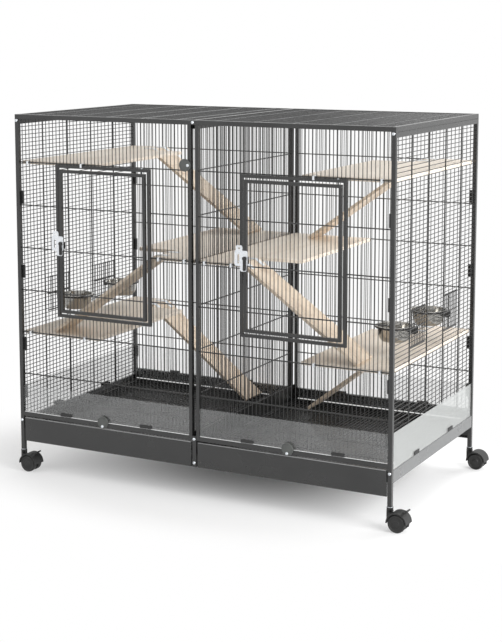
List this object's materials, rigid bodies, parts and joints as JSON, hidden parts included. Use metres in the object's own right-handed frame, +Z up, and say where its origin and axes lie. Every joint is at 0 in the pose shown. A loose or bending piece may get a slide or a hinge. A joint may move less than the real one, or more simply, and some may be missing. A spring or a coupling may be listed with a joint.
{
  "type": "ferret cage",
  "caption": "Wide wire cage on casters for ferrets, in two halves with a removable divider, hinged doors, pull-out litter drawers, wooden platforms, ramps and lift-out bowls.",
  "frame": {"origin": "on the floor, at the centre of the footprint with the casters as shown", "axes": "+X to the right as seen from the front, +Y from the front to the back, +Z up"},
  "size_m": [1.2516, 0.6808, 1.073],
  "materials": {
    "charcoal_paint": "satin powder coat",
    "side_paint": "satin powder coat",
    "zinc": "bright zinc plate",
    "bowl_steel": "polished",
    "black_plastic": "matte",
    "wheel_plastic": "matte",
    "clear_plastic": "clear, glossy",
    "plywood": "bare, sanded",
    "ramp_wood": "bare, sanded"
  },
  "bodies": {
    "cage": {"corner_posts": "charcoal_paint", "centre_posts": "charcoal_paint", "top_rails": "charcoal_paint", "front_bottom_rails": "charcoal_paint", "side_bottom_rails": "side_paint", "back_plate": "charcoal_paint", "centre_runner": "charcoal_paint", "divider_guides": "charcoal_paint", "roof_grilles": "charcoal_paint", "side_grille_left": "charcoal_paint", "side_grille_right": "charcoal_paint", "back_grilles": "charcoal_paint", "front_grille_left": "charcoal_paint", "front_grille_right": "charcoal_paint", "door_surround_left": "charcoal_paint", "door_surround_right": "charcoal_paint", "hinge_pins": "zinc", "floor_grates": "charcoal_paint", "litter_guards": "clear_plastic", "panel_clips": "black_plastic", "frame_screws": "zinc", "top_platforms": "plywood", "middle_platforms": "plywood", "lower_platforms": "plywood", "top_ramps": "ramp_wood", "middle_ramps": "ramp_wood", "lower_ramps": "ramp_wood", "platform_hooks": "zinc", "bowl_grids": "zinc", "bowl_holders": "black_plastic", "caster_sockets": "black_plastic"},
    "divider": {"divider_panel": "charcoal_paint"},
    "divider_lock": {"divider_disc": "black_plastic"},
    "door_left_leaf": {"door_left": "charcoal_paint", "latch_plate_left": "zinc"},
    "latch_left": {"latch_lever_left": "black_plastic"},
    "drawer_left": {"drawer_front_left": "charcoal_paint", "drawer_tray_left": "charcoal_paint"},
    "drawer_lock_left": {"drawer_disc_left": "black_plastic"},
    "bowl_front_left_dish": {"bowl_front_left": "bowl_steel"},
    "bowl_back_left_dish": {"bowl_back_left": "bowl_steel"},
    "door_right_leaf": {"door_right": "charcoal_paint", "latch_plate_right": "zinc"},
    "latch_right": {"latch_lever_right": "black_plastic"},
    "drawer_right": {"drawer_front_right": "charcoal_paint", "drawer_tray_right": "charcoal_paint"},
    "drawer_lock_right": {"drawer_disc_right": "black_plastic"},
    "bowl_front_right_dish": {"bowl_front_right": "bowl_steel"},
    "bowl_back_right_dish": {"bowl_back_right": "bowl_steel"},
    "swivel_front_left": {"caster_fork_front_left": "black_plastic"},
    "wheels_front_left": {"caster_wheels_front_left": "wheel_plastic"},
    "brake_left": {"brake_lever_left": "black_plastic"},
    "swivel_front_right": {"caster_fork_front_right": "black_plastic"},
    "wheels_front_right": {"caster_wheels_front_right": "wheel_plastic"},
    "brake_right": {"brake_lever_right": "black_plastic"},
    "swivel_back_left": {"caster_fork_back_left": "black_plastic"},
    "wheels_back_left": {"caster_wheels_back_left": "wheel_plastic"},
    "swivel_back_right": {"caster_fork_back_right": "black_plastic"},
    "wheels_back_right": {"caster_wheels_back_right": "wheel_plastic"}
  },
  "joints": [
    {"name": "divider_slide", "type": "slide", "parent": "cage", "child": "divider", "axis": [0, -1, 0], "range_m": [0, 0.6]},
    {"name": "divider_disc_turn", "type": "hinge", "parent": "cage", "child": "divider_lock", "pos_m": [-0.03575, -0.325, 0.948], "axis": [0, 1, 0], "range_deg": [-90, 0]},
    {"name": "door_left_swing", "type": "hinge", "parent": "cage", "child": "door_left_leaf", "pos_m": [-0.18875, -0.324, 0.7065], "axis": [0, 0, 1], "range_deg": [0, 115]},
    {"name": "latch_left_turn", "type": "hinge", "parent": "door_left_leaf", "child": "latch_left", "pos_m": [-0.46225, -0.325, 0.701], "axis": [0, 1, 0], "range_deg": [0, 90]},
    {"name": "drawer_left_slide", "type": "slide", "parent": "cage", "child": "drawer_left", "axis": [0, -1, 0], "range_m": [0, 0.5]},
    {"name": "drawer_left_disc_turn", "type": "hinge", "parent": "cage", "child": "drawer_lock_left", "pos_m": [-0.327, -0.325, 0.1715], "axis": [0, 1, 0], "range_deg": [0, 180]},
    {"name": "bowl_front_left_lift", "type": "slide", "parent": "cage", "child": "bowl_front_left_dish", "axis": [0, 0, 1], "range_m": [0, 0.06]},
    {"name": "bowl_back_left_lift", "type": "slide", "parent": "cage", "child": "bowl_back_left_dish", "axis": [0, 0, 1], "range_m": [0, 0.06]},
    {"name": "door_right_swing", "type": "hinge", "parent": "cage", "child": "door_right_leaf", "pos_m": [0.41575, -0.324, 0.7065], "axis": [0, 0, 1], "range_deg": [0, 135]},
    {"name": "latch_right_turn", "type": "hinge", "parent": "door_right_leaf", "child": "latch_right", "pos_m": [0.14225, -0.325, 0.701], "axis": [0, 1, 0], "range_deg": [0, 90]},
    {"name": "drawer_right_slide", "type": "slide", "parent": "cage", "child": "drawer_right", "axis": [0, -1, 0], "range_m": [0, 0.5]},
    {"name": "drawer_right_disc_turn", "type": "hinge", "parent": "cage", "child": "drawer_lock_right", "pos_m": [0.2715, -0.325, 0.1715], "axis": [0, 1, 0], "range_deg": [0, 180]},
    {"name": "bowl_front_right_lift", "type": "slide", "parent": "cage", "child": "bowl_front_right_dish", "axis": [0, 0, 1], "range_m": [0, 0.06]},
    {"name": "bowl_back_right_lift", "type": "slide", "parent": "cage", "child": "bowl_back_right_dish", "axis": [0, 0, 1], "range_m": [0, 0.06]},
    {"name": "swivel_front_left_turn", "type": "hinge", "parent": "cage", "child": "swivel_front_left", "pos_m": [-0.61675, -0.319, 0.065], "axis": [0, 0, 1], "continuous": true},
    {"name": "wheels_front_left_spin", "type": "hinge", "parent": "swivel_front_left", "child": "wheels_front_left", "pos_m": [-0.59175, -0.319, 0.025], "axis": [0, 1, 0], "continuous": true},
    {"name": "brake_left_press", "type": "hinge", "parent": "swivel_front_left", "child": "brake_left", "pos_m": [-0.575, -0.319, 0.05401], "axis": [0, 1, 0], "range_deg": [0, 15]},
    {"name": "swivel_front_right_turn", "type": "hinge", "parent": "cage", "child": "swivel_front_right", "pos_m": [0.57125, -0.319, 0.065], "axis": [0, 0, 1], "continuous": true},
    {"name": "wheels_front_right_spin", "type": "hinge", "parent": "swivel_front_right", "child": "wheels_front_right", "pos_m": [0.59625, -0.319, 0.025], "axis": [0, 1, 0], "continuous": true},
    {"name": "brake_right_press", "type": "hinge", "parent": "swivel_front_right", "child": "brake_right", "pos_m": [0.613, -0.319, 0.05401], "axis": [0, 1, 0], "range_deg": [0, 15]},
    {"name": "swivel_back_left_turn", "type": "hinge", "parent": "cage", "child": "swivel_back_left", "pos_m": [-0.61675, 0.319, 0.065], "axis": [0, 0, 1], "continuous": true},
    {"name": "wheels_back_left_spin", "type": "hinge", "parent": "swivel_back_left", "child": "wheels_back_left", "pos_m": [-0.59175, 0.319, 0.025], "axis": [0, 1, 0], "continuous": true},
    {"name": "swivel_back_right_turn", "type": "hinge", "parent": "cage", "child": "swivel_back_right", "pos_m": [0.57125, 0.319, 0.065], "axis": [0, 0, 1], "continuous": true},
    {"name": "wheels_back_right_spin", "type": "hinge", "parent": "swivel_back_right", "child": "wheels_back_right", "pos_m": [0.59625, 0.319, 0.025], "axis": [0, 1, 0], "continuous": true}
  ]
}
